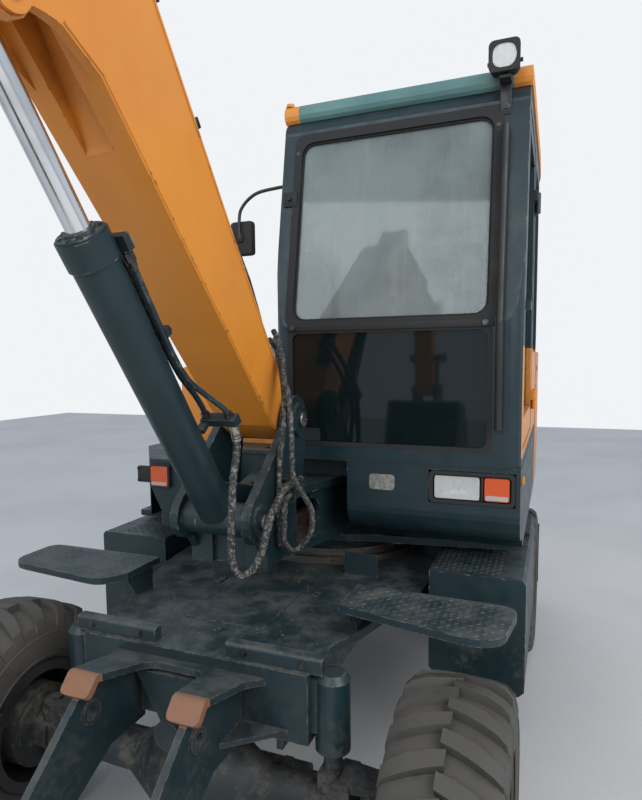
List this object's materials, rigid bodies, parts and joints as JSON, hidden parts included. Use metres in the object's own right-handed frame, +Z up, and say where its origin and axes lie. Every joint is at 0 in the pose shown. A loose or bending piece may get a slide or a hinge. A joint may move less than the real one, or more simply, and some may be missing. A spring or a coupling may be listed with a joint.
{
  "type": "wheeled excavator",
  "caption": "Compact wheeled excavator: road-wheel chassis with blade and steps, slewing upper body with cab, and a swing boom with arm and bucket.",
  "frame": {"origin": "on the ground under the middle of the machine's overall box", "axes": "+X forward along the chassis towards the bucket, +Y to the machine's left, +Z up"},
  "size_m": [5.5828, 1.905, 3.4248],
  "materials": {
    "teal_paint": "semi-gloss, scratched and dusty",
    "orange_paint": "semi-gloss",
    "roof_paint": "faded, dusty",
    "dark_steel": "oily cast surface",
    "bucket_steel": "worn",
    "ring_steel": "greasy",
    "rod_chrome": "polished",
    "tyre": "muddy",
    "rim_paint": "muddy",
    "glass": "tinted",
    "black_plastic": "matt",
    "seat_cloth": "woven",
    "lamp_glass": "clear",
    "hose": "dusty"
  },
  "bodies": {
    "chassis": {"chassis_frame": "teal_paint", "front_bracket": "teal_paint", "slew_ring": "ring_steel", "front_axle": "dark_steel", "rear_axle": "dark_steel", "axle_lock_cylinders": "teal_paint", "drive_line": "dark_steel", "access_steps": "teal_paint", "side_boxes": "teal_paint"},
    "left_knuckle": {"left_knuckle": "dark_steel"},
    "right_knuckle": {"right_knuckle": "dark_steel"},
    "wheel_front_left": {"tyre_front_left": "tyre", "rim_front_left": "rim_paint"},
    "wheel_front_right": {"tyre_front_right": "tyre", "rim_front_right": "rim_paint"},
    "wheel_rear_left": {"tyre_rear_left": "tyre", "rim_rear_left": "rim_paint"},
    "wheel_rear_right": {"tyre_rear_right": "tyre", "rim_rear_right": "rim_paint"},
    "blade": {"blade": "teal_paint"},
    "blade_barrel": {"blade_barrel": "dark_steel"},
    "blade_rod": {"blade_rod": "rod_chrome"},
    "upper": {"upper_frame": "teal_paint", "counterweight": "orange_paint", "engine_block": "dark_steel", "side_body": "orange_paint", "tool_box": "teal_paint", "cab_shell": "teal_paint", "cab_roof": "roof_paint", "cab_glass": "glass", "seat": "seat_cloth", "cab_controls": "black_plastic", "lamps": "lamp_glass", "handrails": "black_plastic"},
    "hood": {"engine_hood": "orange_paint"},
    "door": {"cab_door": "teal_paint", "door_glass": "glass"},
    "post": {"swing_post": "teal_paint", "hose_loops": "hose"},
    "boom": {"boom": "orange_paint", "hose_lines": "hose"},
    "boom_barrel": {"boom_barrel": "teal_paint"},
    "boom_rod": {"boom_rod": "rod_chrome"},
    "arm": {"arm": "orange_paint"},
    "arm_barrel": {"arm_barrel": "orange_paint"},
    "arm_rod": {"arm_rod": "rod_chrome"},
    "bucket_barrel": {"bucket_barrel": "orange_paint"},
    "bucket_rod": {"bucket_rod": "rod_chrome"},
    "idler": {"idler_links": "teal_paint"},
    "link": {"bucket_link": "teal_paint"},
    "bucket": {"bucket": "bucket_steel"}
  },
  "joints": [
    {"name": "slew", "type": "hinge", "parent": "chassis", "child": "upper", "pos_m": [-1.14143, 0, 0.925], "axis": [0, 0, 1], "continuous": true},
    {"name": "steer_left", "type": "hinge", "parent": "chassis", "child": "left_knuckle", "pos_m": [0.13857, 0.59, 0.42], "axis": [0, 0, 1], "range_deg": [-30, 30]},
    {"name": "steer_right", "type": "hinge", "parent": "chassis", "child": "right_knuckle", "pos_m": [0.13857, -0.59, 0.42], "axis": [0, 0, 1], "range_deg": [-30.5, 30.5]},
    {"name": "spin_front_left", "type": "hinge", "parent": "left_knuckle", "child": "wheel_front_left", "pos_m": [0.13857, 0.8, 0.42], "axis": [0, 1, 0], "continuous": true},
    {"name": "spin_front_right", "type": "hinge", "parent": "right_knuckle", "child": "wheel_front_right", "pos_m": [0.13857, -0.8, 0.42], "axis": [0, 1, 0], "continuous": true},
    {"name": "spin_rear_left", "type": "hinge", "parent": "chassis", "child": "wheel_rear_left", "pos_m": [-1.99143, 0.8, 0.42], "axis": [0, 1, 0], "continuous": true},
    {"name": "spin_rear_right", "type": "hinge", "parent": "chassis", "child": "wheel_rear_right", "pos_m": [-1.99143, -0.8, 0.42], "axis": [0, 1, 0], "continuous": true},
    {"name": "blade_lift", "type": "hinge", "parent": "chassis", "child": "blade", "pos_m": [-2.26143, 0, 0.47], "axis": [0, 1, 0], "range_deg": [-8, 14]},
    {"name": "blade_barrel_pivot", "type": "hinge", "parent": "chassis", "child": "blade_barrel", "pos_m": [-2.36743, 0, 0.7], "axis": [0, 1, 0], "range_deg": [-6.71, 11.36]},
    {"name": "blade_rod_slide", "type": "slide", "parent": "blade_barrel", "child": "blade_rod", "axis": [-0.6779, 0, -0.7351], "range_m": [-0.0604, 0.0349]},
    {"name": "hood_hinge", "type": "hinge", "parent": "upper", "child": "hood", "pos_m": [-2.01143, 0, 1.75], "axis": [0, 1, 0], "range_deg": [0, 60]},
    {"name": "door_hinge", "type": "hinge", "parent": "upper", "child": "door", "pos_m": [-1.33543, 0.938, 1.9], "axis": [0, 0, 1], "range_deg": [0, 120]},
    {"name": "boom_swing", "type": "hinge", "parent": "upper", "child": "post", "pos_m": [-0.32143, 0, 1.1], "axis": [0, 0, 1], "range_deg": [-50, 80]},
    {"name": "boom_lift", "type": "hinge", "parent": "post", "child": "boom", "pos_m": [-0.34143, 0, 1.505], "axis": [0, -1, 0], "range_deg": [-55, 30]},
    {"name": "boom_barrel_pivot", "type": "hinge", "parent": "post", "child": "boom_barrel", "pos_m": [-0.02143, 0, 1.2], "axis": [0, -1, 0], "range_deg": [-61.65, 33.85]},
    {"name": "boom_rod_slide", "type": "slide", "parent": "boom_barrel", "child": "boom_rod", "axis": [0.5878, 0, 0.809], "range_m": [-0.3927, 0.2146]},
    {"name": "arm_swing", "type": "hinge", "parent": "boom", "child": "arm", "pos_m": [2.27198, 0, 3.03828], "axis": [0, 1, 0], "range_deg": [-90, 23]},
    {"name": "arm_barrel_pivot", "type": "hinge", "parent": "boom", "child": "arm_barrel", "pos_m": [0.96098, 0, 3.17228], "axis": [0, -1, 0], "range_deg": [-1.29, 0.7]},
    {"name": "arm_rod_slide", "type": "slide", "parent": "arm_barrel", "child": "arm_rod", "axis": [0.9915, 0, 0.1304], "range_m": [-0.5321, 0.1367]},
    {"name": "bucket_curl", "type": "hinge", "parent": "arm", "child": "bucket", "pos_m": [2.41143, 0, 1.44437], "axis": [0, 1, 0], "range_deg": [-62, 74]},
    {"name": "idler_pivot", "type": "hinge", "parent": "arm", "child": "idler", "pos_m": [2.42259, 0, 1.71839], "axis": [0, 1, 0], "range_deg": [-59.62, 71.07]},
    {"name": "link_pivot", "type": "hinge", "parent": "bucket", "child": "link", "pos_m": [2.65143, 0, 1.44437], "axis": [0, 1, 0], "range_deg": [-75.13, 63.03]},
    {"name": "bucket_barrel_pivot", "type": "hinge", "parent": "arm", "child": "bucket_barrel", "pos_m": [2.51306, 0, 2.97907], "axis": [0, 1, 0], "range_deg": [-0.94, 1.03]},
    {"name": "bucket_rod_slide", "type": "slide", "parent": "bucket_barrel", "child": "bucket_rod", "axis": [0.1332, 0, -0.9911], "range_m": [-0.2208, 0.2633]}
  ],
  "couplings": [
    {"joint": "steer_right", "follows": "steer_left", "ratio": 1},
    {"joint": "blade_barrel_pivot", "follows": "blade_lift", "ratio": 0.76055},
    {"joint": "blade_rod_slide", "follows": "blade_lift", "m_per_rad": -0.23823},
    {"joint": "boom_barrel_pivot", "follows": "boom_lift", "ratio": 1.09},
    {"joint": "boom_rod_slide", "follows": "boom_lift", "m_per_rad": 0.4},
    {"joint": "arm_barrel_pivot", "follows": "arm_swing", "ratio": 0.0086},
    {"joint": "arm_rod_slide", "follows": "arm_swing", "m_per_rad": 0.3315},
    {"joint": "idler_pivot", "follows": "bucket_curl", "ratio": 0.9349},
    {"joint": "link_pivot", "follows": "bucket_curl", "ratio": -0.9887},
    {"joint": "bucket_barrel_pivot", "follows": "bucket_curl", "ratio": 0.007},
    {"joint": "bucket_rod_slide", "follows": "bucket_curl", "m_per_rad": 0.1991}
  ]
}
